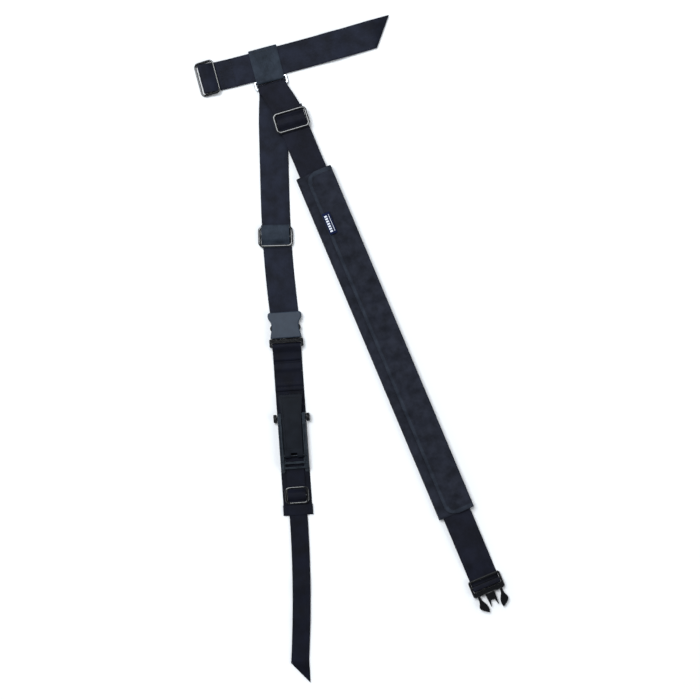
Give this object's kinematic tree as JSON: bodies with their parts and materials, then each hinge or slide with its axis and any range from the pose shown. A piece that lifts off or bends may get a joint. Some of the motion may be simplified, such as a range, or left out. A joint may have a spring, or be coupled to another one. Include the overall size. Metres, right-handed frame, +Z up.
{
  "type": "webbing carrying harness",
  "caption": "Webbing harness with waist belt, ring, padded shoulder strap, side-release buckles, strap slides and a lever quick release, lying flat.",
  "frame": {"origin": "centre of the bounding box at its lowest point, the surface that the harness lies on", "axes": "+Z up from the surface, +Y towards the waist belt, +X towards the belt's cut end"},
  "size_m": [0.4356, 0.9264, 0.0151],
  "materials": {
    "webbing": "matte",
    "keeper_webbing": "matte",
    "sleeve_fabric": "matte",
    "foam": "matte",
    "hook_tape": "matte",
    "label": "satin",
    "ring_wire": "polished",
    "release_metal": "satin",
    "pin_steel": "satin",
    "glide": "gloss",
    "buckle": "satin",
    "lever": "satin",
    "knob": "matte"
  },
  "bodies": {
    "belt": {"belt_webbing": "webbing"},
    "belt_slide": {"belt_tri_glide": "glide"},
    "keeper": {"keeper_loop": "keeper_webbing"},
    "ring": {"strap_ring": "ring_wire", "left_strap": "webbing"},
    "left_slide": {"left_tri_glide": "glide", "left_glide_loop": "webbing"},
    "closed_buckle": {"left_socket": "buckle", "left_plug": "buckle"},
    "closed_prong_left": {"left_plug_prong_l": "buckle"},
    "closed_prong_right": {"left_plug_prong_r": "buckle"},
    "lower_strap": {"lower_strap": "webbing", "stitched_band": "webbing", "release_frame": "release_metal", "lever_axle": "pin_steel", "lever_spring": "pin_steel", "load_pin": "pin_steel", "pin_knob_l": "knob", "pin_knob_r": "knob", "frame_rivet_l": "pin_steel", "frame_rivet_r": "pin_steel", "anchor_loop": "webbing", "tail_tri_glide": "glide", "end_band": "webbing"},
    "lever": {"release_lever": "lever"},
    "tail": {"tail_strap": "webbing"},
    "shoulder": {"right_strap": "webbing"},
    "right_slide": {"right_tri_glide": "glide", "right_glide_loop": "webbing"},
    "sleeve": {"sleeve_body": "sleeve_fabric", "sleeve_foam": "foam", "sleeve_loop_tape": "hook_tape"},
    "panel": {"sleeve_panel": "sleeve_fabric", "sleeve_hook_tape": "hook_tape", "sleeve_label": "label"},
    "open_plug": {"right_plug": "buckle"},
    "open_prong_left": {"right_plug_prong_l": "buckle"},
    "open_prong_right": {"right_plug_prong_r": "buckle"}
  },
  "joints": [
    {"name": "belt_slide_tilt", "type": "hinge", "parent": "belt", "child": "belt_slide", "pos_m": [-0.19927, 0.37484, 0.0046], "axis": [-0.2588, 0.9659, 0], "range_deg": [0, 8]},
    {"name": "keeper_travel", "type": "slide", "parent": "belt", "child": "keeper", "axis": [0.9659, 0.2588, 0], "range_m": [-0.018, 0.025]},
    {"name": "ring_tilt", "type": "hinge", "parent": "keeper", "child": "ring", "pos_m": [-0.11211, 0.37411, 0.0033], "axis": [-0.9659, -0.2588, 0], "range_deg": [0, 60]},
    {"name": "left_slide_travel", "type": "slide", "parent": "ring", "child": "left_slide", "axis": [-0.0262, 0.9997, 0], "range_m": [-0.03, 0.03]},
    {"name": "closed_buckle_pivot", "type": "hinge", "parent": "ring", "child": "closed_buckle", "pos_m": [-0.09228, 0.0458, 0.0036], "axis": [-0.9976, -0.0698, 0], "range_deg": [0, 50]},
    {"name": "closed_prong_left_squeeze", "type": "hinge", "parent": "closed_buckle", "child": "closed_prong_left", "pos_m": [-0.10554, 0.01469, 0.005], "axis": [0, 0, -1], "range_deg": [0, 10], "stiffness_Nm_per_rad": 0.3},
    {"name": "closed_prong_right_squeeze", "type": "hinge", "parent": "closed_buckle", "child": "closed_prong_right", "pos_m": [-0.07482, 0.01684, 0.005], "axis": [0, 0, 1], "range_deg": [0, 10], "stiffness_Nm_per_rad": 0.3},
    {"name": "lower_strap_pivot", "type": "hinge", "parent": "closed_buckle", "child": "lower_strap", "pos_m": [-0.0894, 0.0046, 0.0054], "axis": [-0.9976, -0.0698, 0], "range_deg": [0, 60]},
    {"name": "lever_open", "type": "hinge", "parent": "lower_strap", "child": "lever", "pos_m": [-0.07873, -0.14803, 0.0084], "axis": [0.9976, 0.0698, 0], "range_deg": [0, 100]},
    {"name": "tail_pull", "type": "slide", "parent": "lower_strap", "child": "tail", "axis": [0.0698, -0.9976, 0], "range_m": [-0.008, 0.03]},
    {"name": "shoulder_lift", "type": "hinge", "parent": "ring", "child": "shoulder", "pos_m": [-0.10953, 0.36445, 0.0033], "axis": [-0.9659, -0.2588, 0], "range_deg": [0, 60]},
    {"name": "right_slide_travel", "type": "slide", "parent": "shoulder", "child": "right_slide", "axis": [-0.3875, 0.9219, 0], "range_m": [-0.025, 0.01]},
    {"name": "sleeve_travel", "type": "slide", "parent": "shoulder", "child": "sleeve", "axis": [-0.3875, 0.9219, 0], "range_m": [-0.04, 0.015]},
    {"name": "panel_open", "type": "hinge", "parent": "sleeve", "child": "panel", "pos_m": [0.07081, 0.01829, 0.01225], "axis": [-0.3875, 0.9219, 0], "range_deg": [0, 120]},
    {"name": "open_plug_pivot", "type": "hinge", "parent": "shoulder", "child": "open_plug", "pos_m": [0.18673, -0.32458, 0.0048], "axis": [-0.9219, -0.3875, 0], "range_deg": [0, 14]},
    {"name": "open_prong_left_squeeze", "type": "hinge", "parent": "open_plug", "child": "open_prong_left", "pos_m": [0.17858, -0.34493, 0.005], "axis": [0, 0, 1], "range_deg": [0, 10], "stiffness_Nm_per_rad": 0.3},
    {"name": "open_prong_right_squeeze", "type": "hinge", "parent": "open_plug", "child": "open_prong_right", "pos_m": [0.20698, -0.33299, 0.005], "axis": [0, 0, -1], "range_deg": [0, 10], "stiffness_Nm_per_rad": 0.3}
  ]
}
